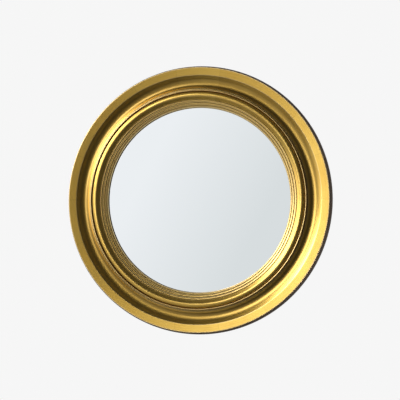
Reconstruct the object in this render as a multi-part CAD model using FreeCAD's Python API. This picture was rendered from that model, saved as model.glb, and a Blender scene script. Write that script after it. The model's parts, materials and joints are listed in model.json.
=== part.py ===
"""Convex butlers mirror in a round gilded frame, for hanging on a wall.

Millimetres. The origin is the centre of the wall plane: the back of the frame lies in y = 0,
the mirror faces -Y and +Z is up. Left and right are as seen from the front.
A turned piece is drawn as a section of radius and height above the wall, and turned about Y.
"""
import FreeCAD, Part
import math
import os

# Overall
outer_radius = 250.0        # lip of the frame, and back edge of its moulding
hoop_depth = 14.0           # back hoop, from the wall to the moulding's back face
moulding_depth = 36.0       # moulding, from its back face to the lip
side_bow = 3.5              # how far the moulding's side bows out between those two edges

# Front band of the moulding
lip_round = 0.8             # rounding of the outer lip
band_width = 15.0           # flat band inside the lip
band_drop = 1.4             # how far the band falls from the lip to the arris

# Scoop, from the arris inwards
scoop_outer_run = 15.5      # arris to the bottom of the scoop
scoop_inner_run = 10.0      # bottom of the scoop to the moulding's inner edge
scoop_outer_round = 17.0    # radius of the hollow on the outer side
scoop_inner_round = 11.0    # radius of the hollow on the inner side
scoop_outer_angle = 34.0    # slope of the straight flank under the arris
scoop_inner_angle = 34.0    # slope of the straight flank beside the slip

# Back of the moulding
shoulder_width = 9.5        # ledge in front, which the slip sits on
shoulder_floor = 14.0       # wood behind that ledge
hoop_setback = 1.0          # hoop's outer face, inside the moulding's
hoop_width = 15.0           # radial width of the hoop
hoop_chamfer = 1.0          # chamfer on the hoop's rear edges

# Slip, from its outer edge inwards, with heights against the lip
slip_fit = 0.2              # gap round the slip in its rebate and in the bore
quirk_drop = 0.7            # slip's outer corner below the moulding's inner edge
quirk_width = 1.1           # narrow flat outside the fillet
fillet_batter = 0.9         # lean of the fillet's outer wall
fillet_round = 1.0          # radius of the fillet's top
fillet_rise = 1.3           # top of the fillet above the lip
valley_width = 1.3          # valley between the fillet and the bead
valley_drop = 1.2           # floor of the valley below the lip
bead_rise = 1.4             # crest of the bead above the lip
bead_outer_angle = 44.0     # slope where the bead rises from the valley
bead_inner_round = 7.0      # radius of the bead's crest on the inner side
bead_inner_angle = 36.0     # slope of the bead's straight inner flank
bead_flank_run = 4.1        # radial run of that flank
groove_width = 0.7          # groove between the bead and the reeds
groove_depth = 1.0
reed_widths = [5.0, 4.8, 3.4]
reed_angle = 31.0           # fall of the reeded band towards the sight
reed_fullness = 0.25        # rise of a reed over its own width
sight_edge = 2.6            # thickness of the slip at the sight

# Glass and what holds it
glass_lap = 5.5             # how far the slip laps over the glass
glass_play = 1.5            # gap round the glass in its rebate
glass_thickness = 3.0
dome_sag = 17.2             # rise of the dome from its rim to its middle
seal_thickness = 1.6        # felt between slip and glass, at the glass's rim
seat_gap = 0.2              # what lies between curved faces that bear on each other
ring_thickness = 3.0        # flange of the ring behind the glass
ring_nose = 8.5             # width of the nose that bears on the glass
ring_margin = 2.0           # flange's edge inside the bore
board_thickness = 3.0
board_play = 0.5            # gap round the back board

# Screws: radius of shank and head, and height of head
screw_slot_width = 0.9
screw_slot_depth = 0.8
screw_tip = 3.0             # length of the pointed end
pilot_fit = 0.05            # gap round a shank in its hole
hole_extra = 0.5            # hole's depth past the screw's tip
slip_screw = dict(shank=1.6, head=3.4, head_height=2.0, length=23.0)
ring_screw = dict(shank=1.4, head=2.8, head_height=1.6, length=12.0)
button_screw = dict(shank=2.0, head=4.0, head_height=2.2, length=14.0)
strap_screw = dict(shank=1.8, head=3.5, head_height=1.6, length=15.0)
slip_screw_count = 6
ring_screw_count = 8

# Turn buttons that hold the board in
button_count = 6
button_thickness = 1.5
button_pivot_margin = 11.0  # screw outside the bore's wall
button_round = 6.5          # round end at the screw
button_nose_round = 4.0     # round end over the board
button_reach = 16.0         # screw to the centre of the nose
pivot_fit = 0.08            # radial gap of a piece that turns
button_play = 0.1           # gap under the screw's head

# Hangers: a strap with a rolled loop, and a D-shaped ring in it
strap_width = 15.0
strap_thickness = 1.2
strap_length = 36.0         # from the ring's bar to the strap's end
strap_margin = 1.5          # strap's edge outside the bore
strap_screw_offsets = [9.0, 28.0]
loop_gap = 0.6              # left between the loop's rolled end and the strap
hanger_rise = 46.0          # ring's bar above the middle of the mirror
wire_radius = 1.5
ring_side_gap = 0.6         # ring's legs beside the strap
ring_corner_round = 2.0     # bend at each end of the bar, on the wire's centre line
ring_leg = 12.0             # bar to the centre of the ring's round end
lean_gap = 0.3              # left between the ring and the ledge that it leans on

# Radii that follow
arris_radius = outer_radius - band_width
scoop_radius = arris_radius - scoop_outer_run
rebate_radius = scoop_radius - scoop_inner_run
slip_radius = rebate_radius - slip_fit
bore_radius = rebate_radius - shoulder_width
hoop_radius = outer_radius - hoop_setback
hoop_inner_radius = hoop_radius - hoop_width
fillet_radius = slip_radius - quirk_width - fillet_batter - fillet_round
bead_foot_radius = fillet_radius - fillet_round - valley_width
bead_outer_round = (bead_rise + valley_drop) / (1 - math.cos(math.radians(bead_outer_angle)))
bead_radius = bead_foot_radius - bead_outer_round * math.sin(math.radians(bead_outer_angle))
flank_radius = bead_radius - bead_inner_round * math.sin(math.radians(bead_inner_angle))
reed_radius = flank_radius - bead_flank_run - groove_width
sight_radius = reed_radius - sum(reed_widths)
glass_radius = sight_radius + glass_lap
glass_rebate_radius = glass_radius + glass_play
slip_screw_radius = (bore_radius + rebate_radius) / 2
ring_screw_radius = (glass_rebate_radius + bore_radius) / 2
button_pivot_radius = bore_radius + button_pivot_margin

# Heights above the wall that follow
ledge_height = hoop_depth
lip_height = ledge_height + moulding_depth
shoulder_height = ledge_height + shoulder_floor
board_front = ledge_height + board_thickness
slip_back = board_front + ring_thickness
reed_height = (lip_height + bead_rise
               - bead_inner_round * (1 - math.cos(math.radians(bead_inner_angle)))
               - bead_flank_run * math.tan(math.radians(bead_inner_angle)) - groove_depth)
sight_height = reed_height - sum(reed_widths) * math.tan(math.radians(reed_angle))
glass_rebate_height = sight_height - sight_edge
glass_rim_height = glass_rebate_height - seal_thickness
dome_radius = (glass_radius ** 2 + dome_sag ** 2) / (2 * dome_sag)
dome_centre = glass_rim_height + dome_sag - dome_radius
button_seat = ledge_height - button_thickness - button_play

# Hangers that follow
loop_inner_radius = wire_radius + pivot_fit
loop_outer_radius = loop_inner_radius + strap_thickness
loop_wrap = 270.0 + math.degrees(math.asin((loop_inner_radius - loop_gap) / loop_outer_radius))
ring_axis_height = ledge_height - loop_outer_radius
ring_half_width = strap_width / 2 + ring_side_gap + wire_radius
hanger_offset = bore_radius + strap_margin + strap_width / 2
ring_lean = math.degrees(math.asin(
    (loop_outer_radius - wire_radius - lean_gap) / (ring_leg + ring_half_width)))

AXIS = FreeCAD.Vector(0, 1, 0)
SIDEWAYS = FreeCAD.Vector(1, 0, 0)
FORWARD = FreeCAD.Vector(0, -1, 0)


def at(radius, height):
    """Point of a turned section: radius from the axis, height above the wall."""
    return FreeCAD.Vector(radius, -height, 0)


def outline(start, *steps):
    """Closed wire from start. A step is the end of a line, or (middle, end) of an arc."""
    edges = []
    here = start
    for step in list(steps) + [start]:
        if isinstance(step, tuple):
            edges.append(Part.Arc(here, step[0], step[1]).toShape())
            here = step[1]
        elif here.distanceToPoint(step) > 1e-6:
            edges.append(Part.makeLine(here, step))
            here = step
    return Part.Wire(edges)


def turned(wire):
    """Solid that a closed section makes when it is turned about the mirror's axis."""
    solid = Part.Face(wire).revolve(FreeCAD.Vector(0, 0, 0), AXIS, 360)
    if solid.Volume < 0:
        solid.reverse()
    return solid


def round_from(radius, height, rounding, angle):
    """Point on an arc of the given rounding that lies flat at (radius, height).

    The arc turns up from there when rounding is positive and down when it is negative;
    a positive angle goes outwards. x = radius + |r| sin a, y = height + r (1 - cos a).
    """
    turn = math.radians(angle)
    return at(radius + abs(rounding) * math.sin(turn),
              height + rounding * (1 - math.cos(turn)))


def along(start, run, angle):
    """End of a straight flank that goes inwards by run and climbs at the angle."""
    return FreeCAD.Vector(start.x - run, start.y - run * math.tan(math.radians(angle)), 0)


def bulged(start, end, rise):
    """(middle, end) of an arc that stands out by rise from the line start-end."""
    chord = end - start
    outward = FreeCAD.Vector(chord.y, -chord.x, 0).normalize()
    return ((start + end) * 0.5 - outward * rise, end)


def dome_height(radius, depth):
    """Height of the sphere that lies depth behind the dome's front face."""
    return dome_centre + math.sqrt((dome_radius - depth) ** 2 - radius ** 2)


def ring_of(count, radius, start=0.0):
    """Centres (x, z) spaced evenly round the mirror's axis, with their angles in degrees."""
    angles = [start + 360.0 * number / count for number in range(count)]
    return [(radius * math.cos(math.radians(a)), radius * math.sin(math.radians(a)), a)
            for a in angles]


def moved(shape, x, z):
    """Copy of a shape, moved in the wall's plane."""
    return shape.translated(FreeCAD.Vector(x, 0, z))


def countersunk_screw(face, shank, head, head_height, length, slack=0.0, slot=True):
    """Screw on the axis, with its flat head flush in a face at that height.

    With slack it is the hole for that screw: wider all round, and deeper past the tip.
    """
    tip = face + length + (hole_extra if slack else 0.0)
    body = turned(outline(
        at(0, face), at(head + slack, face), at(shank + slack, face + head_height),
        at(shank + slack, tip - screw_tip), at(0, tip)))
    if slot:
        body = body.cut(head_slot(face, face + screw_slot_depth, head))
    return body


def round_head_screw(seat, shank, head, head_height, length):
    """Screw on the axis, with a domed head that stands behind a seat at that height."""
    dome = (head ** 2 + head_height ** 2) / (2 * head_height)
    half = math.degrees(math.asin(head / dome)) / 2
    crown = seat - head_height
    body = turned(outline(
        at(0, crown), (round_from(0, crown, dome, half), at(head, seat)), at(shank, seat),
        at(shank, seat + length - screw_tip), at(0, seat + length)))
    return body.cut(head_slot(crown, crown + screw_slot_depth, head))


def head_slot(crown, floor, head):
    """Bar that cuts a screw's slot, from below the crown down to the slot's floor."""
    depth = floor - crown + hole_extra
    return Part.makeBox(2 * head, depth, screw_slot_width,
                        FreeCAD.Vector(-head, -floor, -screw_slot_width / 2))


def pilot_hole(seat, shank, length, from_height):
    """Hole for a round-headed screw's shank, from a face inwards past the screw's tip."""
    end = seat + length + hole_extra
    radius = shank + pilot_fit
    return turned(outline(at(0, from_height), at(radius, from_height),
                          at(radius, end - screw_tip), at(0, end)))


def strap_screw_places():
    """Centres of the four strap screws."""
    return [(side * hanger_offset, hanger_rise - offset)
            for side in (-1, 1) for offset in strap_screw_offsets]


def frame_moulding():
    """Turned wooden moulding: bowed side, band, scoop, shoulder for the slip, bore and ledge."""
    lip_corner = lip_round * (1 - math.sqrt(0.5))
    flank = scoop_outer_run - scoop_outer_round * math.sin(math.radians(scoop_outer_angle))
    flank_fall = flank * math.tan(math.radians(scoop_outer_angle))
    arc_fall = scoop_outer_round * (1 - math.cos(math.radians(scoop_outer_angle)))
    arris = lip_height - band_drop
    floor = arris - flank_fall - arc_fall
    outer_arc = [round_from(scoop_radius, floor, scoop_outer_round, share * scoop_outer_angle)
                 for share in (1.0, 0.5)]
    inner_arc = [round_from(scoop_radius, floor, scoop_inner_round, -share * scoop_inner_angle)
                 for share in (0.5, 1.0)]
    inner_edge = along(inner_arc[1], inner_arc[1].x - rebate_radius, scoop_inner_angle)
    side_foot = at(outer_radius, ledge_height)
    side_top = at(outer_radius, lip_height - lip_round)
    solid = turned(outline(
        side_foot,
        bulged(side_foot, side_top, side_bow),
        (at(outer_radius - lip_corner, lip_height - lip_corner),
         at(outer_radius - lip_round, lip_height)),
        at(arris_radius, arris),
        outer_arc[0],
        (outer_arc[1], at(scoop_radius, floor)),
        (inner_arc[0], inner_arc[1]),
        inner_edge,
        at(rebate_radius, shoulder_height),
        at(bore_radius, shoulder_height),
        at(bore_radius, ledge_height)))
    holes = []
    for x, z, _ in ring_of(slip_screw_count, slip_screw_radius):
        hole = countersunk_screw(ledge_height, slack=pilot_fit, slot=False, **slip_screw)
        holes.append(moved(hole, x, z))
    pilot = pilot_hole(button_seat, button_screw["shank"], button_screw["length"], ledge_height)
    for x, z, _ in ring_of(button_count, button_pivot_radius, 90.0):
        holes.append(moved(pilot, x, z))
    pilot = pilot_hole(ledge_height - strap_thickness, strap_screw["shank"],
                       strap_screw["length"], ledge_height)
    for x, z in strap_screw_places():
        holes.append(moved(pilot, x, z))
    return solid.cut(holes), -inner_edge.y


def back_hoop():
    """Plain wooden hoop glued behind the moulding, which meets the wall."""
    return turned(outline(
        at(hoop_radius - hoop_chamfer, 0), at(hoop_radius, hoop_chamfer),
        at(hoop_radius, ledge_height), at(hoop_inner_radius, ledge_height),
        at(hoop_inner_radius, hoop_chamfer), at(hoop_inner_radius + hoop_chamfer, 0)))


def sight_slip(edge_height):
    """Inner ring: fillet, bead and reeds in front, glass rebate and spigot behind."""
    quirk = slip_radius - quirk_width
    wall_foot = at(quirk, edge_height - quirk_drop)
    fillet_centre = lip_height + fillet_rise - fillet_round
    foot = at(bead_foot_radius, lip_height - valley_drop)
    crest = lip_height + bead_rise
    outer_middle = round_from(bead_radius, crest, -bead_outer_round, bead_outer_angle / 2)
    inner_arc = [round_from(bead_radius, crest, -bead_inner_round, -share * bead_inner_angle)
                 for share in (0.5, 1.0)]
    flank_end = along(inner_arc[1], bead_flank_run, -bead_inner_angle)
    steps = [
        wall_foot,
        at(fillet_radius + fillet_round, fillet_centre),
        (at(fillet_radius, fillet_centre + fillet_round),
         at(fillet_radius - fillet_round, fillet_centre)),
        foot,
        (outer_middle, at(bead_radius, crest)),
        (inner_arc[0], inner_arc[1]),
        flank_end,
        at(reed_radius, reed_height)]
    here = steps[-1]
    for width in reed_widths:
        groove = along(here, width, -reed_angle)
        steps.append(bulged(here, groove, width * reed_fullness))
        here = groove
    steps += [
        at(sight_radius, glass_rebate_height),
        at(glass_rebate_radius, glass_rebate_height),
        at(glass_rebate_radius, slip_back),
        at(bore_radius - slip_fit, slip_back),
        at(bore_radius - slip_fit, shoulder_height),
        at(slip_radius, shoulder_height)]
    solid = turned(outline(at(slip_radius, edge_height - quirk_drop), *steps))
    holes = []
    for x, z, _ in ring_of(slip_screw_count, slip_screw_radius):
        hole = countersunk_screw(ledge_height, slack=pilot_fit, slot=False, **slip_screw)
        holes.append(moved(hole, x, z))
    for x, z, _ in ring_of(ring_screw_count, ring_screw_radius, 180.0 / ring_screw_count):
        hole = countersunk_screw(board_front, slack=pilot_fit, slot=False, **ring_screw)
        holes.append(moved(hole, x, z))
    return solid.cut(holes)


def convex_mirror_glass():
    """Glass of even thickness between two spheres of one centre, convex to the front."""
    half = glass_radius / 2
    rim_back = dome_height(glass_radius, glass_thickness)
    return turned(outline(
        at(0, dome_height(0, 0)),
        (at(half, dome_height(half, 0)), at(glass_radius, glass_rim_height)),
        at(glass_radius, rim_back),
        (at(half, dome_height(half, glass_thickness)), at(0, dome_height(0, glass_thickness)))))


def glass_felt_seal():
    """Felt strip between the slip's flat rebate and the glass's curved rim."""
    inner = sight_radius + seat_gap
    return turned(outline(
        at(inner, glass_rebate_height), at(glass_radius, glass_rebate_height),
        at(glass_radius, dome_height(glass_radius, -seat_gap)),
        at(inner, dome_height(inner, -seat_gap))))


def glass_retaining_ring():
    """Wooden ring behind the glass: a flange on the slip and a nose on the glass's rim."""
    nose_outer = glass_radius
    nose_inner = nose_outer - ring_nose
    flange = bore_radius - ring_margin
    depth = glass_thickness + seat_gap
    solid = turned(outline(
        at(nose_inner, board_front), at(flange, board_front), at(flange, slip_back),
        at(nose_outer, slip_back), at(nose_outer, dome_height(nose_outer, depth)),
        at(nose_inner, dome_height(nose_inner, depth))))
    holes = []
    for x, z, _ in ring_of(ring_screw_count, ring_screw_radius, 180.0 / ring_screw_count):
        hole = countersunk_screw(board_front, slack=pilot_fit, slot=False, **ring_screw)
        holes.append(moved(hole, x, z))
    return solid.cut(holes)


def back_board():
    """Flat board that closes the back, flush with the ledge."""
    radius = bore_radius - board_play
    return Part.makeCylinder(radius, board_thickness, at(0, ledge_height), FORWARD)


def slip_screws():
    """Screws through the ledge into the slip."""
    screw = countersunk_screw(ledge_height, **slip_screw)
    return [moved(screw, x, z) for x, z, _ in ring_of(slip_screw_count, slip_screw_radius)]


def retaining_ring_screws():
    """Screws through the ring behind the glass into the slip."""
    screw = countersunk_screw(board_front, **ring_screw)
    places = ring_of(ring_screw_count, ring_screw_radius, 180.0 / ring_screw_count)
    return [moved(screw, x, z) for x, z, _ in places]


def turn_button_screws():
    """Round-headed screws that the turn buttons turn on."""
    screw = round_head_screw(button_seat, **button_screw)
    return [moved(screw, x, z) for x, z, _ in ring_of(button_count, button_pivot_radius, 90.0)]


def hanger_screws():
    """Round-headed screws that hold the hanger straps."""
    screw = round_head_screw(ledge_height - strap_thickness, **strap_screw)
    return [moved(screw, x, z) for x, z in strap_screw_places()]


def turn_button(x, z, angle):
    """Flat brass plate with two round ends, which turns on its screw over the board's edge.

    The straight sides touch both rounds: their contact lies at acos((R - r) / reach).
    """
    contact = math.acos((button_round - button_nose_round) / button_reach)
    cosine = math.cos(contact)
    sine = math.sin(contact)
    face_y = -ledge_height

    def on_round(centre, radius, across):
        return FreeCAD.Vector(centre + radius * cosine, face_y, across * radius * sine)

    start = on_round(0, button_round, 1)
    plan = outline(
        start,
        on_round(button_reach, button_nose_round, 1),
        (FreeCAD.Vector(button_reach + button_nose_round, face_y, 0),
         on_round(button_reach, button_nose_round, -1)),
        on_round(0, button_round, -1),
        (FreeCAD.Vector(-button_round, face_y, 0), start))
    plate = Part.Face(plan).extrude(AXIS * button_thickness)
    hole = Part.makeCylinder(button_screw["shank"] + pivot_fit, button_thickness,
                             at(0, ledge_height), AXIS)
    plate = plate.cut(hole)
    plate.rotate(FreeCAD.Vector(0, 0, 0), AXIS, 180.0 - angle)
    return moved(plate, x, z)


def hanger_strap(side):
    """Steel strap whose end is rolled into a loop round the ring's bar."""
    def on_loop(radius, degrees):
        turn = math.radians(90.0 - degrees)
        return FreeCAD.Vector(0, -ring_axis_height - radius * math.sin(turn),
                              hanger_rise + radius * math.cos(turn))

    end = hanger_rise - strap_length
    inner_face = -ledge_height + strap_thickness
    section = outline(
        FreeCAD.Vector(0, -ledge_height, end),
        on_loop(loop_outer_radius, 0),
        (on_loop(loop_outer_radius, loop_wrap / 2), on_loop(loop_outer_radius, loop_wrap)),
        on_loop(loop_inner_radius, loop_wrap),
        (on_loop(loop_inner_radius, loop_wrap / 2), on_loop(loop_inner_radius, 0)),
        FreeCAD.Vector(0, inner_face, end))
    half = strap_width / 2
    strap = Part.Face(section).extrude(SIDEWAYS * strap_width)
    strap.translate(SIDEWAYS * -half)
    top = hanger_rise + loop_outer_radius + hole_extra
    shoulder = end + half
    plan = outline(
        FreeCAD.Vector(-half, 0, top), FreeCAD.Vector(half, 0, top),
        FreeCAD.Vector(half, 0, shoulder),
        (FreeCAD.Vector(0, 0, end), FreeCAD.Vector(-half, 0, shoulder)))
    strap = strap.common(Part.Face(plan).extrude(FORWARD * lip_height))
    for offset in strap_screw_offsets:
        start = FreeCAD.Vector(0, -ledge_height, hanger_rise - offset)
        strap = strap.cut(Part.makeCylinder(strap_screw["shank"] + pilot_fit,
                                            strap_thickness, start, AXIS))
    return moved(strap, side * hanger_offset, 0)


def hanger_ring(side):
    """D-shaped ring of round wire: a straight bar, two legs and a round end.

    It leans on the ledge: sin(lean) = gap in front of its round end / height of that end.
    """
    width = ring_half_width
    bend = ring_corner_round
    diagonal = bend * (1 - math.sqrt(0.5))

    def point(x, z):
        return FreeCAD.Vector(x, -ring_axis_height, hanger_rise + z)

    start = point(0, 0)
    path = outline(
        start,
        point(width - bend, 0), (point(width - diagonal, diagonal), point(width, bend)),
        point(width, ring_leg), (point(0, ring_leg + width), point(-width, ring_leg)),
        point(-width, bend), (point(-width + diagonal, diagonal), point(-width + bend, 0)))
    wire_section = Part.Wire(Part.makeCircle(wire_radius, start, SIDEWAYS))
    ring = path.makePipeShell([wire_section], True, False)
    ring.rotate(start, SIDEWAYS, ring_lean)
    return moved(ring, side * hanger_offset, 0)


def make_nodes():
    """Every node by name; a list of solids is a group of like fasteners."""
    moulding, edge_height = frame_moulding()
    nodes = dict(
        frame_moulding=moulding,
        back_hoop=back_hoop(),
        sight_slip=sight_slip(edge_height),
        convex_mirror_glass=convex_mirror_glass(),
        glass_felt_seal=glass_felt_seal(),
        glass_retaining_ring=glass_retaining_ring(),
        retaining_ring_screws=Part.makeCompound(retaining_ring_screws()),
        back_board=back_board(),
        slip_screws=Part.makeCompound(slip_screws()),
        turn_button_screws=Part.makeCompound(turn_button_screws()),
        hanger_screws=Part.makeCompound(hanger_screws()))
    places = ring_of(button_count, button_pivot_radius, 90.0)
    for number, (x, z, angle) in enumerate(places, start=1):
        nodes["turn_button_%d" % number] = turn_button(x, z, angle)
    for name, side in (("left", -1), ("right", 1)):
        nodes["hanger_strap_" + name] = hanger_strap(side)
        nodes["hanger_ring_" + name] = hanger_ring(side)
    return nodes


os.makedirs("parts", exist_ok=True)
for name, shape in make_nodes().items():
    shape.exportStep("parts/%s.step" % name)
    print("%-24s solids %d  valid %s  volume %.0f" % (
        name, len(shape.Solids), shape.isValid(), shape.Volume))
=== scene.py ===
"""Looks of the convex butlers mirror: gilded frame, convex glass, and the board and hangers behind.

Metres. The wall plane is y = 0, the mirror faces -Y and +Z is up, as in the frame.
"""
import json
import math
import bmesh
import bpy
import numpy as np
from mathutils import Matrix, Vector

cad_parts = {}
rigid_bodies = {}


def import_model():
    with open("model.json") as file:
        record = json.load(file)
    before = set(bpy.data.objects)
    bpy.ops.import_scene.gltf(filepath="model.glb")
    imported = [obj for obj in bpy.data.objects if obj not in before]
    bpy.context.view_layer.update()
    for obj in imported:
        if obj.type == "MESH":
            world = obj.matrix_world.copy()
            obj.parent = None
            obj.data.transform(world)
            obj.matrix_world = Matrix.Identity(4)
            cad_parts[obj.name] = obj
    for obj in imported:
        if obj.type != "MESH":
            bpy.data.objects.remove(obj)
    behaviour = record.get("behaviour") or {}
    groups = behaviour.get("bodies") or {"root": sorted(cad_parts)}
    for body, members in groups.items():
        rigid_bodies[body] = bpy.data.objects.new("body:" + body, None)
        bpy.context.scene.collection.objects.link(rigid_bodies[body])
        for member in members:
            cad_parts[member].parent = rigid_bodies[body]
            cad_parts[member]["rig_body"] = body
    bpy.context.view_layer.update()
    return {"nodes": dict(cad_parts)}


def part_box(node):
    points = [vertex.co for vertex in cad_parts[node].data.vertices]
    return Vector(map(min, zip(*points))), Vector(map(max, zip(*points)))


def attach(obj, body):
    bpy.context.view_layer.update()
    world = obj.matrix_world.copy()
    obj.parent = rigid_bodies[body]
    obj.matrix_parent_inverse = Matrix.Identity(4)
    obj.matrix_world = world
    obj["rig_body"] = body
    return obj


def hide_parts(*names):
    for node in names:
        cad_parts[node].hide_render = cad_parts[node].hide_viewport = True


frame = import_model()
scene = bpy.context.scene


# The view. The photograph looks from a little right of the middle and a little below it,
# through a long lens, and the mirror's middle lies close to the middle of the picture.
VIEW_DISTANCE = 3.2
VIEW_TILT = math.radians(11.9)          # away from the mirror's axis
VIEW_TURN = math.radians(-15.1)         # which way it tilts: from the right towards the top
VIEW_END = 50.0                         # nothing farther off is seen
PICTURE_WIDTH = 400
PIXELS_PER_METRE = 532.3
MIDDLE_PIXEL = (197.1, 199.4)           # where the middle of the lip lies in the picture
SENSOR_WIDTH = 36.0                     # millimetres

lip_middle = np.array((0.0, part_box("frame_moulding")[0].y, 0.0))
view_axis = np.array((math.sin(VIEW_TILT) * math.cos(VIEW_TURN),
                      -math.cos(VIEW_TILT),
                      math.sin(VIEW_TILT) * math.sin(VIEW_TURN)))


def seen_along(axis):
    """Right and up of a picture taken against axis: right is level, and up = axis x right."""
    right = np.cross((0.0, 0.0, 1.0), axis)
    right /= np.linalg.norm(right)
    return right, np.cross(axis, right)


picture_right, picture_up = seen_along(view_axis)
aim = (lip_middle
       + picture_right * (PICTURE_WIDTH / 2 - MIDDLE_PIXEL[0]) / PIXELS_PER_METRE
       + picture_up * (MIDDLE_PIXEL[1] - PICTURE_WIDTH / 2) / PIXELS_PER_METRE)
eye = lip_middle + view_axis * VIEW_DISTANCE
gaze = (eye - aim) / np.linalg.norm(eye - aim)
picture_right, picture_up = seen_along(gaze)

camera_data = bpy.data.cameras.new("camera")
camera_data.sensor_width = SENSOR_WIDTH
camera_data.lens = PIXELS_PER_METRE * VIEW_DISTANCE / PICTURE_WIDTH * SENSOR_WIDTH
camera_data.clip_end = VIEW_END
camera = bpy.data.objects.new("camera", camera_data)
pose = np.eye(4)
pose[:3, :] = np.stack((picture_right, picture_up, gaze, eye), axis=1)
camera.matrix_world = Matrix(pose.tolist())
scene.collection.objects.link(camera)
scene.camera = camera
scene.view_settings.view_transform = "Standard"


# The studio. The backdrop behind the mirror is white. In front of it lies a dim room with five
# soft lights, and the sharp glass shows a pale screen in that room, lightest at the upper left.
BACKDROP = (0.9225, 0.9225, 0.9225)
BEHIND = 0.85                           # the backdrop as the gilding sees it
BEHIND_FROM = (-0.25, 0.10)             # where it begins, as the y of a direction
ROOM = 0.06
MIRROR_DARK = (0.755, 0.790, 0.802)     # what the glass shows at its lower right
MIRROR_PALE = (0.923, 0.943, 0.965)     # and at its upper left
MIRROR_WAY = (-0.88, 0.0, 0.47)         # towards the pale side
MIRROR_SPAN = (-0.10, 0.45)             # of a direction along that way
FLOOR_DROP = 1.55                       # the height at which such a mirror hangs
FLOOR_REACH = (1.5, -0.55, 2.1)         # half its width, then the y of its front and back edges
FLOOR_COLOUR = (0.7, 0.7, 0.7)
# name: degrees off the mirror's axis, degrees from the right towards the top, spread, strength
SOFT_LIGHTS = {
    "tall window": (68.6, 151.4, 18.5, 6.6),
    "front window": (33.0, 150.9, 19.8, 4.9),
    "left screen": (89.0, 165.0, 39.7, 2.1),
    "low screen": (38.0, 213.4, 42.0, 0.42),
    "right screen": (105.0, -38.6, 25.6, 5.6),
}


def wired(tree, kind, settings=None, **inputs):
    """New node of a kind. Each input is a value or another node's socket.

    An input goes by its socket's name, as in Base_Color, or by its number, as in _0.
    """
    node = tree.nodes.new(kind)
    for key, value in (settings or {}).items():
        setattr(node, key, value)
    for key, value in inputs.items():
        socket = node.inputs[int(key[1:])] if key[0] == "_" else node.inputs[key.replace("_", " ")]
        if isinstance(value, bpy.types.NodeSocket):
            tree.links.new(value, socket)
        else:
            socket.default_value = value
    return node


def maths(tree, operation, a, b=0.0):
    """Value of one sum on numbers or sockets."""
    return wired(tree, "ShaderNodeMath", {"operation": operation}, _0=a, _1=b).outputs[0]


def span(tree, value, low, high, to_low=0.0, to_high=1.0):
    """Value carried from low..high to to_low..to_high, and held there."""
    return wired(tree, "ShaderNodeMapRange", _0=value, _1=low, _2=high, _3=to_low, _4=to_high).outputs[0]


def blended(tree, share, first, second):
    """Colour between two, each a socket or three numbers, by a share from 0 to 1."""
    first, second = (colour if isinstance(colour, bpy.types.NodeSocket) else (*colour, 1.0)
                     for colour in (first, second))
    return wired(tree, "ShaderNodeMix", {"data_type": "RGBA"}, _0=share, _6=first, _7=second).outputs[2]


def fresh_tree(owner):
    """Empty node tree of a material or a world."""
    owner.use_nodes = True
    owner.node_tree.nodes.clear()
    return owner.node_tree


def along(tree, vector, way):
    """How far a vector reaches along a way: their dot product."""
    settings = {"operation": "DOT_PRODUCT"}
    return wired(tree, "ShaderNodeVectorMath", settings, _0=vector, _1=way).outputs["Value"]


world = bpy.data.worlds.new("studio")
scene.world = world
tree = fresh_tree(world)
towards = wired(tree, "ShaderNodeTexCoord").outputs["Generated"]
level = span(tree, wired(tree, "ShaderNodeSeparateXYZ", _0=towards).outputs["Y"], *BEHIND_FROM,
             ROOM, ROOM + BEHIND)
for off_axis, turn, spread, strength in SOFT_LIGHTS.values():
    off_axis, turn, spread = (math.radians(degrees) for degrees in (off_axis, turn, spread))
    way = (math.sin(off_axis) * math.cos(turn), -math.cos(off_axis),
           math.sin(off_axis) * math.sin(turn))
    glow = wired(tree, "ShaderNodeMapRange", {"interpolation_type": "SMOOTHSTEP"},
                 _0=along(tree, towards, way), _1=math.cos(spread), _2=1.0, _4=strength)
    level = maths(tree, "ADD", level, glow.outputs[0])
in_mirror = blended(tree, span(tree, along(tree, towards, MIRROR_WAY), *MIRROR_SPAN),
                    MIRROR_DARK, MIRROR_PALE)
ray = wired(tree, "ShaderNodeLightPath")
direct = maths(tree, "MAXIMUM", ray.outputs["Is Camera Ray"], ray.outputs["Is Transmission Ray"])
colour = wired(tree, "ShaderNodeCombineColor", Red=level, Green=level, Blue=level).outputs[0]
colour = blended(tree, ray.outputs["Is Singular Ray"], colour, in_mirror)
colour = blended(tree, direct, colour, BACKDROP)
light = wired(tree, "ShaderNodeBackground", Color=colour, Strength=1.0)
wired(tree, "ShaderNodeOutputWorld", Surface=light.outputs[0])

floor_mesh = bpy.data.meshes.new("floor")
half, front, back = FLOOR_REACH
floor_mesh.from_pydata([(-half, front, -FLOOR_DROP), (half, front, -FLOOR_DROP),
                        (half, back, -FLOOR_DROP), (-half, back, -FLOOR_DROP)], [], [(0, 1, 2, 3)])
floor = bpy.data.objects.new("floor", floor_mesh)
scene.collection.objects.link(floor)
floor_material = bpy.data.materials.new("floor")
tree = fresh_tree(floor_material)
matt = wired(tree, "ShaderNodeBsdfDiffuse", Color=(*FLOOR_COLOUR, 1.0))
wired(tree, "ShaderNodeOutputMaterial", Surface=matt.outputs[0])
floor_mesh.materials.append(floor_material)


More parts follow.
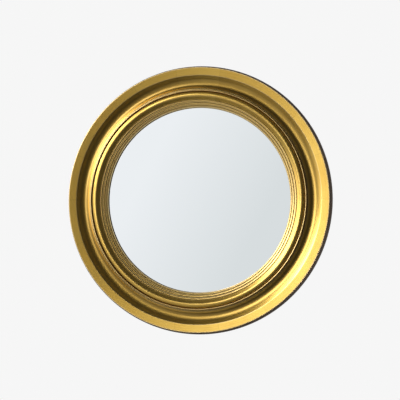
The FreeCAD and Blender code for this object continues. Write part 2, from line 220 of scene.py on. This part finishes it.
# The frame moulding: one ring of wood, turned with a flat band, a crisp arris and a deep
# scoop, sized with gesso and bole, and laid with leaf. Its side is toned down to bronze.
SIDE_BOW = 0.0035
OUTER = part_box("frame_moulding")[1].x - SIDE_BOW
LEDGE = -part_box("frame_moulding")[1].y
LIP = -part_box("frame_moulding")[0].y
LIP_ROUND = 0.0008
BAND_WIDTH = 0.015
BAND_DROP = 0.0014
SCOOP_OUTER_RUN = 0.0155
SCOOP_INNER_RUN = 0.010
SCOOP_OUTER_ROUND = 0.017
SCOOP_INNER_ROUND = 0.011
SCOOP_OUTER_SLOPE = math.radians(34)
SCOOP_INNER_SLOPE = math.radians(34)
SHOULDER_WIDTH = 0.0095
SHOULDER_FLOOR = 0.014

GILT, TONED, BARE = 0, 1, 2             # finishes, in the order of a turned piece's slots
DOUBLED = 1e-6                          # points closer than this are one
LEAF_EDGE = 0.0004                      # easing of every turned corner under the leaf
SHARP_CORNER = math.radians(12)         # a corner that turns by more is eased
EASING_SHARE = 0.4                      # of a short side that an easing may take
CORNER_STEPS = 4
AROUND = 400                            # steps round the ring
LONGEST_STEP = 0.0013
CREASE = math.radians(40)
RELIEF_REACH = 0.0015                   # how far along the section the relief is felt
RELIEF_FULL = 0.3                       # share of that reach that a full crest stands out

GOLD = (0.83, 0.54, 0.10)
WORN_GOLD = (0.74, 0.45, 0.07)
# Pale gold for the crests: partly wear, partly a painted highlight.
RUBBED_AND_HIGHLIT_GOLD = (0.92, 0.70, 0.34)
# Dark glazing colour: in the turned lines, specks and laps it is the glaze itself; in the grooves it is
# painted shade.
GLAZE_AND_SHADE = (0.13, 0.065, 0.01)
LINES_PER_METRE = 900.0                 # of the turned lines under the leaf
LINE_CIRCLE = 5.0                       # radius of the ring in cells of noise: a line changes 31 times
LEAVES = 18                             # leaves laid round the ring, 85 mm wide
LAP = 0.012                             # share of a leaf that laps the one before
COAT = 0.7                              # of varnish over the leaf
COAT_ROUGHNESS = 0.22
TONING = ((0.045, 0.024, 0.008), (0.022, 0.011, 0.004))     # umber, thin and thick
LEAF_BELOW = (0.16, 0.09, 0.02)
STAIN = ((0.20, 0.105, 0.045), (0.10, 0.048, 0.02))         # on early and late wood


def arc(centre, radius, start, end, finish, steps=15):
    """Points (radius, height, finish) of an arc: centre + r (sin a, -cos a), a from straight down."""
    angle = np.linspace(start, end, steps)
    return np.stack((centre[0] + radius * np.sin(angle), centre[1] - radius * np.cos(angle),
                     np.full(steps, finish)), axis=1)


def bulged(start, end, rise, finish, steps=13):
    """Points from start to end on the arc that stands out by rise: a parabola 4 rise t (1-t)."""
    start, end = np.array(start), np.array(end)
    t = np.linspace(0, 1, steps)[:, None]
    chord = end - start
    outward = np.array((chord[1], -chord[0])) / np.linalg.norm(chord)
    place = start + chord * t + outward * 4 * rise * t * (1 - t)
    return np.column_stack((place, np.full(steps, finish)))


def eased(section, easing):
    """Closed section with each sharp corner eased by (1-t)^2 A + 2 t (1-t) P + t^2 B.

    A and B lie back along the two sides of the corner P, by the easing or less.
    """
    before = np.roll(section, 1, 0)[:, :2] - section[:, :2]
    after = np.roll(section, -1, 0)[:, :2] - section[:, :2]
    back = np.linalg.norm(before, axis=1)
    on = np.linalg.norm(after, axis=1)
    turn = np.arccos(np.clip(-(before * after).sum(1) / (back * on), -1, 1))
    sharp = turn > SHARP_CORNER
    counts = np.where(sharp, CORNER_STEPS, 1)
    owner = np.repeat(np.arange(len(section)), counts)
    t = (np.arange(len(owner)) - (np.cumsum(counts) - counts)[owner])[:, None] / (CORNER_STEPS - 1)
    reach = np.minimum(easing, EASING_SHARE * np.minimum(back, on))[:, None]
    corner = section[owner, :2]
    a = corner + (before / back[:, None] * reach)[owner]
    b = corner + (after / on[:, None] * reach)[owner]
    curve = (1 - t) ** 2 * a + 2 * t * (1 - t) * corner + t ** 2 * b
    place = np.where(sharp[owner, None], curve, corner)
    return np.column_stack((place, section[owner, 2]))


def divided(section, longest):
    """Closed section with its long sides cut into equal steps no longer than longest."""
    side = np.roll(section, -1, 0)[:, :2] - section[:, :2]
    counts = np.maximum(1, np.ceil(np.linalg.norm(side, axis=1) / longest)).astype(int)
    owner = np.repeat(np.arange(len(section)), counts)
    t = (np.arange(len(owner)) - (np.cumsum(counts) - counts)[owner]) / counts[owner]
    return np.column_stack((section[owner, :2] + side[owner] * t[:, None], section[owner, 2]))


def relief_of(section):
    """How far each point stands out of the section near it, from -1 in a groove to 1 on a crest.

    The point is set against the middle of the two points that lie RELIEF_REACH before and after.
    """
    place = section[:, :2]
    step = np.linalg.norm(np.roll(place, -1, 0) - place, axis=1)
    run = np.concatenate(([0.0], np.cumsum(step)))
    loop = np.vstack((place, place[:1]))
    before, after = (np.stack([np.interp((run[:-1] + shift) % run[-1], run, loop[:, k])
                               for k in (0, 1)], 1)
                     for shift in (-RELIEF_REACH, RELIEF_REACH))
    ahead = after - before
    outward = np.stack((ahead[:, 1], -ahead[:, 0]), 1)
    outward /= np.maximum(np.linalg.norm(outward, axis=1, keepdims=True), DOUBLED)
    stand = ((place - (before + after) / 2) * outward).sum(1)
    return np.clip(stand / (RELIEF_FULL * RELIEF_REACH), -1, 1)


def turned(name, section, materials):
    """Surface that a closed section makes when it is turned about the mirror's axis.

    Point i, j lies at (r_i cos a_j, -h_i, r_i sin a_j) with a_j = 2 pi j / AROUND. The
    section runs anticlockwise in (radius, height). A point on the axis is one shared pole.
    """
    radius, height, finish = section.T
    area = (radius * np.roll(height, -1) - np.roll(radius, -1) * height).sum()
    if area < 0:
        radius, height, finish = radius[::-1], height[::-1], np.roll(finish[::-1], -1)
        section = np.column_stack((radius, height, finish))
    angle = np.arange(AROUND) * (2 * math.pi / AROUND)
    place = np.stack((radius[:, None] * np.cos(angle), -height[:, None] + 0 * angle,
                      radius[:, None] * np.sin(angle)), axis=2)
    pole = radius < DOUBLED
    here = np.arange(len(radius) * AROUND).reshape(len(radius), AROUND)
    here[pole] = here[pole, :1]
    on, next_pole = np.roll(here, -1, 0), np.roll(pole, -1)
    quads = np.stack((here, np.roll(here, -1, 1), np.roll(on, -1, 1), on), axis=2)
    rows = (~pole & ~next_pole, pole & ~next_pole, ~pole & next_pole)
    corners = ([0, 1, 2, 3], [0, 2, 3], [0, 1, 2])
    faces = [quads[mask][:, :, kept].reshape(-1, len(kept)) for mask, kept in zip(rows, corners)]
    used, packed = np.unique(np.concatenate([f.ravel() for f in faces]), return_inverse=True)
    sizes = np.concatenate([np.full(len(f), f.shape[1]) for f in faces])
    slots = np.concatenate([np.repeat(finish[mask], AROUND) for mask in rows])
    mesh = bpy.data.meshes.new(name)
    mesh.vertices.add(len(used))
    mesh.vertices.foreach_set("co", place.reshape(-1, 3)[used].ravel())
    mesh.loops.add(len(packed))
    mesh.loops.foreach_set("vertex_index", packed.astype(np.int32))
    mesh.polygons.add(len(sizes))
    mesh.polygons.foreach_set("loop_start", np.concatenate(([0], np.cumsum(sizes)[:-1])))
    for material in materials:
        mesh.materials.append(material)
    mesh.polygons.foreach_set("material_index", slots.astype(np.int32))
    mesh.update(calc_edges=True)
    mesh.validate()
    relief = mesh.attributes.new("relief", "FLOAT", "POINT")
    relief.data.foreach_set("value", np.repeat(relief_of(section), AROUND)[used])
    mesh.shade_smooth()
    mesh.set_sharp_from_angle(angle=CREASE)
    piece = bpy.data.objects.new(name, mesh)
    scene.collection.objects.link(piece)
    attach(piece, "frame")
    return piece


def blank_material(name):
    """New material, its empty tree, and the place on the piece that its patterns follow."""
    material = bpy.data.materials.new(name)
    tree = fresh_tree(material)
    return material, tree, wired(tree, "ShaderNodeTexCoord").outputs["Object"]


def surfaced(tree, **inputs):
    """Shader with these inputs, as the surface of the tree's material."""
    shader = wired(tree, "ShaderNodeBsdfPrincipled", **inputs)
    wired(tree, "ShaderNodeOutputMaterial", Surface=shader.outputs[0])
    return shader


def noise(tree, vector, scale, detail=2.0, roughness=0.5, distortion=0.0):
    """Noise from 0 to 1."""
    return wired(tree, "ShaderNodeTexNoise", Vector=vector, Scale=scale, Detail=detail,
                 Roughness=roughness, Distortion=distortion).outputs[0]


def drawn_out(tree, place, stretch):
    """Place scaled by stretch, so that a pattern made from it is drawn out where stretch is small."""
    return wired(tree, "ShaderNodeMapping", _0=place, _3=stretch).outputs[0]


def tinted(tree, colour, second, pattern, low, high, most=1.0):
    """Colour that goes over to a second one, from not at all at low to most at high of a pattern."""
    return blended(tree, span(tree, pattern, low, high, 0.0, most), colour, second)


def bumped(tree, height, strength, distance):
    """Normal of a surface whose height follows a pattern."""
    return wired(tree, "ShaderNodeBump", Strength=strength, Distance=distance, Height=height).outputs[0]


def leafed(name, leaf, worn, rubbed_and_highlit, glaze_and_shade, roughness):
    """Metal leaf: turned lines that run round the ring, laps between the leaves, soft mottling,
    crests worn pale and brightened further as a painted highlight, dark glazing in the grooves
    deepened there into painted shade, and a varnish over all.
    """
    material, tree, place = blank_material(name)
    x, depth, z = wired(tree, "ShaderNodeSeparateXYZ", _0=place).outputs
    flat = wired(tree, "ShaderNodeCombineXYZ", X=x, Z=z).outputs[0]
    distance = wired(tree, "ShaderNodeVectorMath", {"operation": "LENGTH"}, _0=flat).outputs["Value"]
    way = wired(tree, "ShaderNodeVectorMath", {"operation": "NORMALIZE"}, _0=flat).outputs[0]
    way_x, _, way_z = wired(tree, "ShaderNodeSeparateXYZ", _0=way).outputs
    across = maths(tree, "MULTIPLY", maths(tree, "ADD", distance, depth), LINES_PER_METRE)
    ringed = wired(tree, "ShaderNodeCombineXYZ", X=across, Y=maths(tree, "MULTIPLY", way_x, LINE_CIRCLE),
                   Z=maths(tree, "MULTIPLY", way_z, LINE_CIRCLE)).outputs[0]
    lines = noise(tree, ringed, 1.0, 3.0, 0.6)
    mottle = noise(tree, place, 26.0, 3.0, 0.55)
    speck = noise(tree, place, 420.0, 2.0, 0.6)
    relief = wired(tree, "ShaderNodeAttribute", {"attribute_name": "relief"}).outputs["Fac"]
    turn = maths(tree, "MULTIPLY", maths(tree, "ARCTAN2", way_z, way_x), LEAVES / (2 * math.pi))
    turn = maths(tree, "ADD", turn, maths(tree, "MULTIPLY", mottle, 0.05))
    sheet = wired(tree, "ShaderNodeTexWhiteNoise", {"noise_dimensions": "1D"},
                  W=maths(tree, "FLOOR", turn)).outputs["Value"]
    tone = maths(tree, "ADD", maths(tree, "MULTIPLY", sheet, 0.3), maths(tree, "MULTIPLY", mottle, 0.9))
    colour = tinted(tree, leaf, worn, tone, 0.35, 0.85)
    colour = tinted(tree, colour, glaze_and_shade, lines, 0.35, 0.75, 0.22)
    colour = tinted(tree, colour, glaze_and_shade, speck, 0.66, 0.80, 0.25)
    colour = tinted(tree, colour, glaze_and_shade, maths(tree, "FRACT", turn), LAP, 0.0, 0.3)
    # Painted shade: the grooves are darkened almost to the glazing colour, as shade falls there.
    colour = tinted(tree, colour, glaze_and_shade, relief, -0.03, -0.42, 0.95)
    # Painted highlight and wear: crests are carried towards the pale gold, lighter where they stand out
    # most.
    colour = tinted(tree, colour, rubbed_and_highlit, relief, 0.25, 0.8, 0.6)
    height = maths(tree, "ADD", lines, maths(tree, "MULTIPLY", mottle, 0.6))
    dull = maths(tree, "ADD", roughness - 0.05, maths(tree, "MULTIPLY", mottle, 0.10))
    shader = surfaced(tree, Base_Color=colour, Metallic=1.0, Roughness=dull,
                      Normal=bumped(tree, height, 0.12, 0.00008))
    shader.inputs["Coat Weight"].default_value = COAT
    shader.inputs["Coat Roughness"].default_value = COAT_ROUGHNESS
    return material


def toned(name, light, dark, leaf_below):
    """Dull bronze-brown toning: thin umber paint in drifts, with a few specks of leaf below."""
    material, tree, place = blank_material(name)
    colour = tinted(tree, light, dark, noise(tree, place, 18.0, 4.0, 0.6), 0.3, 0.7)
    colour = tinted(tree, colour, leaf_below, noise(tree, place, 600.0, 1.0), 0.68, 0.76, 0.5)
    shader = surfaced(tree, Base_Color=colour, Roughness=0.7,
                      Normal=bumped(tree, noise(tree, place, 140.0, 3.0), 0.2, 0.0001))
    shader.inputs["Specular IOR Level"].default_value = 0.15
    return material


def stained(name, light, dark, roughness):
    """Stained wood: growth rings drawn out along the boards, with fine pores."""
    material, tree, place = blank_material(name)
    grain = drawn_out(tree, place, (9.0, 160.0, 160.0))
    colour = tinted(tree, light, dark, noise(tree, grain, 1.0, 4.0, 0.6, 0.6), 0.35, 0.68)
    surfaced(tree, Base_Color=colour, Roughness=roughness,
             Normal=bumped(tree, noise(tree, grain, 6.0), 0.3, 0.0002))
    return material


gold_leaf = leafed("gold_leaf", GOLD, WORN_GOLD, RUBBED_AND_HIGHLIT_GOLD, GLAZE_AND_SHADE, roughness=0.31)
toned_side = toned("toned_side", *TONING, LEAF_BELOW)
stained_wood = stained("stained_wood", *STAIN, roughness=0.6)
wood_finishes = (gold_leaf, toned_side, stained_wood)

arris_radius = OUTER - BAND_WIDTH
scoop_radius = arris_radius - SCOOP_OUTER_RUN
rebate_radius = scoop_radius - SCOOP_INNER_RUN
bore_radius = rebate_radius - SHOULDER_WIDTH
arris = LIP - BAND_DROP
scoop_floor = (arris - SCOOP_OUTER_ROUND * (1 - math.cos(SCOOP_OUTER_SLOPE))
               - (SCOOP_OUTER_RUN - SCOOP_OUTER_ROUND * math.sin(SCOOP_OUTER_SLOPE))
               * math.tan(SCOOP_OUTER_SLOPE))
outer_hollow = arc((scoop_radius, scoop_floor + SCOOP_OUTER_ROUND), SCOOP_OUTER_ROUND,
                   SCOOP_OUTER_SLOPE, 0.0, GILT)
inner_hollow = arc((scoop_radius, scoop_floor + SCOOP_INNER_ROUND), SCOOP_INNER_ROUND,
                   0.0, -SCOOP_INNER_SLOPE, GILT)[1:]
inner_edge = (inner_hollow[-1, 1]
              + (inner_hollow[-1, 0] - rebate_radius) * math.tan(SCOOP_INNER_SLOPE))
side = bulged((OUTER, LEDGE), (OUTER, LIP - LIP_ROUND), SIDE_BOW, TONED, steps=25)
lip_corner = arc((OUTER - LIP_ROUND, LIP - LIP_ROUND), LIP_ROUND, math.pi / 2, math.pi, GILT, steps=5)
moulding_section = np.vstack((
    side,
    lip_corner[1:],
    [(arris_radius, arris, GILT)],
    outer_hollow,
    inner_hollow,
    [(rebate_radius, inner_edge, TONED),
     (rebate_radius, LEDGE + SHOULDER_FLOOR, BARE),
     (bore_radius, LEDGE + SHOULDER_FLOOR, BARE),
     (bore_radius, LEDGE, BARE)]))
moulding = turned("gilded_moulding", divided(eased(moulding_section, LEAF_EDGE), LONGEST_STEP),
                  wood_finishes)
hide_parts("frame_moulding")


# The back hoop: a plain hoop of the same wood, glued behind the moulding and toned with it.
# Its chamfered back edge meets the wall.
HOOP_SETBACK = 0.001
HOOP_WIDTH = 0.015
HOOP_CHAMFER = 0.001

hoop_radius = OUTER - HOOP_SETBACK
hoop_bore = hoop_radius - HOOP_WIDTH
hoop_section = np.array((
    (hoop_radius - HOOP_CHAMFER, 0.0, TONED),
    (hoop_radius, HOOP_CHAMFER, TONED),
    (hoop_radius, LEDGE, BARE),
    (hoop_bore, LEDGE, BARE),
    (hoop_bore, HOOP_CHAMFER, BARE),
    (hoop_bore + HOOP_CHAMFER, 0.0, BARE)))
hoop = turned("toned_hoop", divided(eased(hoop_section, LEAF_EDGE / 2), 2 * LONGEST_STEP),
              wood_finishes)
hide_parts("back_hoop")


# The sight slip: the inner ring, turned with a thin fillet, a large bead and three reeds,
# gilded like the moulding, glued into its rebate and screwed from behind.
SLIP_FIT = 0.0002
QUIRK_DROP = 0.0007
QUIRK_WIDTH = 0.0011
FILLET_BATTER = 0.0009
FILLET_ROUND = 0.001
FILLET_RISE = 0.0013
VALLEY_WIDTH = 0.0013
VALLEY_DROP = 0.0012
BEAD_RISE = 0.0014
BEAD_OUTER_SLOPE = math.radians(44)
BEAD_INNER_ROUND = 0.007
BEAD_INNER_SLOPE = math.radians(36)
BEAD_FLANK_RUN = 0.0041
GROOVE_WIDTH = 0.0007
GROOVE_DEPTH = 0.001
REED_WIDTHS = (0.005, 0.0048, 0.0034)
REED_SLOPE = math.radians(31)
REED_FULLNESS = 0.25
SIGHT_EDGE = 0.0026
GLASS_LAP = 0.0055
GLASS_PLAY = 0.0015

slip_radius = rebate_radius - SLIP_FIT
slip_back = -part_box("sight_slip")[1].y
fillet_radius = slip_radius - QUIRK_WIDTH - FILLET_BATTER - FILLET_ROUND
fillet_centre = LIP + FILLET_RISE - FILLET_ROUND
bead_foot = fillet_radius - FILLET_ROUND - VALLEY_WIDTH
bead_crest = LIP + BEAD_RISE
bead_outer_round = (BEAD_RISE + VALLEY_DROP) / (1 - math.cos(BEAD_OUTER_SLOPE))
bead_radius = bead_foot - bead_outer_round * math.sin(BEAD_OUTER_SLOPE)
fillet_top = arc((fillet_radius, fillet_centre), FILLET_ROUND, math.pi / 2, math.pi * 1.5, GILT,
                 steps=9)
bead_outer = arc((bead_radius, bead_crest - bead_outer_round), bead_outer_round,
                 math.pi - BEAD_OUTER_SLOPE, math.pi, GILT)
bead_inner = arc((bead_radius, bead_crest - BEAD_INNER_ROUND), BEAD_INNER_ROUND,
                 math.pi, math.pi + BEAD_INNER_SLOPE, GILT)[1:]
flank_foot = (bead_inner[-1, 0] - BEAD_FLANK_RUN,
              bead_inner[-1, 1] - BEAD_FLANK_RUN * math.tan(BEAD_INNER_SLOPE))
groove = np.array((flank_foot[0] - GROOVE_WIDTH, flank_foot[1] - GROOVE_DEPTH))
reeds = []
for reed_width in REED_WIDTHS:
    far_groove = groove - (reed_width, reed_width * math.tan(REED_SLOPE))
    reeds.append(bulged(groove, far_groove, reed_width * REED_FULLNESS, GILT))
    groove = far_groove
sight_radius, sight_height = groove
glass_rebate_radius = sight_radius + GLASS_LAP + GLASS_PLAY
glass_rebate_height = sight_height - SIGHT_EDGE
slip_section = np.vstack((
    [(slip_radius, inner_edge - QUIRK_DROP, GILT),
     (slip_radius - QUIRK_WIDTH, inner_edge - QUIRK_DROP, GILT)],
    fillet_top,
    bead_outer,
    bead_inner,
    [(*flank_foot, GILT)],
    *reeds,
    [(sight_radius, glass_rebate_height, TONED),
     (glass_rebate_radius, glass_rebate_height, BARE),
     (glass_rebate_radius, slip_back, BARE),
     (bore_radius - SLIP_FIT, slip_back, BARE),
     (bore_radius - SLIP_FIT, LEDGE + SHOULDER_FLOOR, BARE),
     (slip_radius, LEDGE + SHOULDER_FLOOR, TONED)]))
apart = np.linalg.norm(slip_section - np.roll(slip_section, 1, 0), axis=1) > DOUBLED
slip = turned("gilded_slip", divided(eased(slip_section[apart], LEAF_EDGE / 2), LONGEST_STEP),
              wood_finishes)
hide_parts("sight_slip")


# The convex glass: a disc of 3 mm glass, bent over a mould, silvered behind and backed with
# grey paint. Its rim shows the green of the glass.
GLASS_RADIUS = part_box("convex_mirror_glass")[1].x
GLASS_THICKNESS = 0.003
DOME_SAG = 0.0172
DOME_STEPS = 60
SILVER = (0.90, 0.915, 0.92)
GREEN_EDGE = ((0.10, 0.22, 0.18), (0.16, 0.30, 0.25))
GREY_PAINT = ((0.23, 0.24, 0.25), (0.30, 0.31, 0.32))
MIRROR, RIM, PAINT = 0, 1, 2            # finishes, in the order of the glass's slots

dome_radius = (GLASS_RADIUS ** 2 + DOME_SAG ** 2) / (2 * DOME_SAG)
dome_top = -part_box("convex_mirror_glass")[0].y
distances = np.linspace(0, GLASS_RADIUS, DOME_STEPS)


def dome(behind, finish):
    """Points of the glass's sphere, behind by so much: top - R + sqrt((R - behind)^2 - d^2)."""
    height = dome_top - dome_radius + np.sqrt((dome_radius - behind) ** 2 - distances ** 2)
    return np.column_stack((distances, height, np.full(DOME_STEPS, finish)))


def clouded(name, light, dark, scale, detail, roughness):
    """One colour that drifts into another."""
    material, tree, place = blank_material(name)
    surfaced(tree, Base_Color=blended(tree, noise(tree, place, scale, detail), light, dark),
             Roughness=roughness)
    return material


silvering = bpy.data.materials.new("silvering")
surfaced(fresh_tree(silvering), Base_Color=(*SILVER, 1.0), Metallic=1.0, Roughness=0.0)
glass_rim = clouded("glass_rim", *GREEN_EDGE, scale=30.0, detail=2.0, roughness=0.3)
backing_paint = clouded("backing_paint", *GREY_PAINT, scale=60.0, detail=4.0, roughness=0.55)

front = dome(0.0, MIRROR)
front[-1, 2] = RIM
glass_section = np.vstack((front, dome(GLASS_THICKNESS, PAINT)[::-1]))[::-1]
glass_section[:, 2] = np.roll(glass_section[:, 2], -1)
glass = turned("silvered_glass", glass_section, (silvering, glass_rim, backing_paint))
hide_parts("convex_mirror_glass")


# Behind the glass: a felt strip, the plywood ring that holds the glass, and the hardboard
# that closes the back. They are cut from sheet, so their solids stay and get their finish.
# Each finish has a light, a dark and a fleck colour.
FELT = ((0.030, 0.030, 0.032), (0.010, 0.010, 0.011), (0.07, 0.07, 0.07))
PLYWOOD = ((0.56, 0.41, 0.25), (0.43, 0.29, 0.16), (0.30, 0.18, 0.09))
HARDBOARD = ((0.235, 0.135, 0.070), (0.150, 0.080, 0.038), (0.36, 0.23, 0.13))


def dressed(node, material):
    """Puts a finish on a node whose solid stays as it is."""
    mesh = frame["nodes"][node].data
    mesh.materials.clear()
    mesh.materials.append(material)


def fibrous(name, light, dark, fleck, roughness, stretch, grain, sheen=0.0):
    """Pressed or woven fibres: noise drawn out along one way, over a broad mottling, with flecks."""
    material, tree, place = blank_material(name)
    fibres = noise(tree, drawn_out(tree, place, stretch), grain, 4.0, 0.65, 0.4)
    colour = tinted(tree, light, dark, fibres, 0.32, 0.68)
    colour = tinted(tree, colour, dark, noise(tree, place, 9.0, 3.0, 0.55), 0.35, 0.7, 0.35)
    colour = tinted(tree, colour, fleck, noise(tree, place, grain * 2.6, 1.0), 0.66, 0.76, 0.7)
    shader = surfaced(tree, Base_Color=colour, Roughness=roughness,
                      Normal=bumped(tree, fibres, 0.35, 0.00025))
    shader.inputs["Sheen Weight"].default_value = sheen
    return material


dressed("glass_felt_seal", fibrous("felt", *FELT, roughness=0.95, stretch=(1.0, 1.0, 1.0),
                                   grain=900.0, sheen=0.3))
dressed("glass_retaining_ring", fibrous("plywood", *PLYWOOD, roughness=0.6,
                                        stretch=(0.12, 1.0, 1.0), grain=260.0))
dressed("back_board", fibrous("hardboard", *HARDBOARD, roughness=0.55, stretch=(1.0, 1.0, 0.7),
                              grain=420.0))


# Hardware: zinc-plated screws, straps and D-rings, and lacquered brass turn buttons with their
# screws. Each is stamped, headed or bent from wire, so its edges are slightly broken.
EDGE_BREAK = 0.00012
SCREW_BREAK = EDGE_BREAK / 2
BREAK_STEPS = 2
BREAK_ANGLE = math.radians(40)          # an edge that turns by more is broken
METAL_CREASE = math.radians(35)
LEVEL_ANGLE = math.radians(0.5)         # faces closer in direction than this are one
BUTTONS = 6
ZINC = ((0.66, 0.67, 0.69), (0.56, 0.57, 0.58))             # bright and clouded
BRASS = ((0.80, 0.58, 0.24), (0.68, 0.47, 0.17))


def metal(name, colour, tint, roughness, brushed):
    """Plated or lacquered metal: fine brushing along one way, cloudy tint and dull spots."""
    material, tree, place = blank_material(name)
    strokes = noise(tree, drawn_out(tree, place, brushed), 1.0, 3.0, 0.6)
    cloud = noise(tree, place, 120.0, 3.0, 0.6)
    dull = maths(tree, "ADD", roughness - 0.06, maths(tree, "MULTIPLY", cloud, 0.12))
    surfaced(tree, Base_Color=tinted(tree, colour, tint, cloud, 0.35, 0.7), Metallic=1.0,
             Roughness=dull, Normal=bumped(tree, strokes, 0.12, 0.00003))
    return material


def broken_edges(node, name, material, width=None):
    """Merged copy of a solid in place of the node, its edges bevelled by width if it has one."""
    source = frame["nodes"][node]
    mesh = source.data.copy()
    mesh.name = name
    form = bmesh.new()
    form.from_mesh(mesh)
    bmesh.ops.remove_doubles(form, verts=form.verts, dist=DOUBLED)
    bmesh.ops.dissolve_limit(form, angle_limit=LEVEL_ANGLE, verts=form.verts, edges=form.edges)
    form.to_mesh(mesh)
    form.free()
    if "custom_normal" in mesh.attributes:
        mesh.attributes.remove(mesh.attributes["custom_normal"])
    mesh.materials.clear()
    mesh.materials.append(material)
    mesh.shade_smooth()
    mesh.set_sharp_from_angle(angle=METAL_CREASE)
    piece = bpy.data.objects.new(name, mesh)
    scene.collection.objects.link(piece)
    if width:
        edges = piece.modifiers.new("edges", "BEVEL")
        edges.width = width
        edges.segments = BREAK_STEPS
        edges.limit_method = "ANGLE"
        edges.angle_limit = BREAK_ANGLE
    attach(piece, source["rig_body"])
    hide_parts(node)
    return piece


zinc = metal("zinc_plate", *ZINC, roughness=0.30, brushed=(900.0, 900.0, 60.0))
brass = metal("lacquered_brass", *BRASS, roughness=0.26, brushed=(700.0, 700.0, 700.0))
for number in range(1, BUTTONS + 1):
    button = broken_edges("turn_button_%d" % number, "brass_button_%d" % number, brass, EDGE_BREAK)
broken_edges("turn_button_screws", "brass_button_screws", brass, SCREW_BREAK)
for hand in ("left", "right"):
    strap = broken_edges("hanger_strap_" + hand, "zinc_strap_" + hand, zinc, EDGE_BREAK)
    ring = broken_edges("hanger_ring_" + hand, "wire_ring_" + hand, zinc)
for screws in ("hanger_screws", "slip_screws", "retaining_ring_screws"):
    broken_edges(screws, "zinc_" + screws, zinc, SCREW_BREAK)
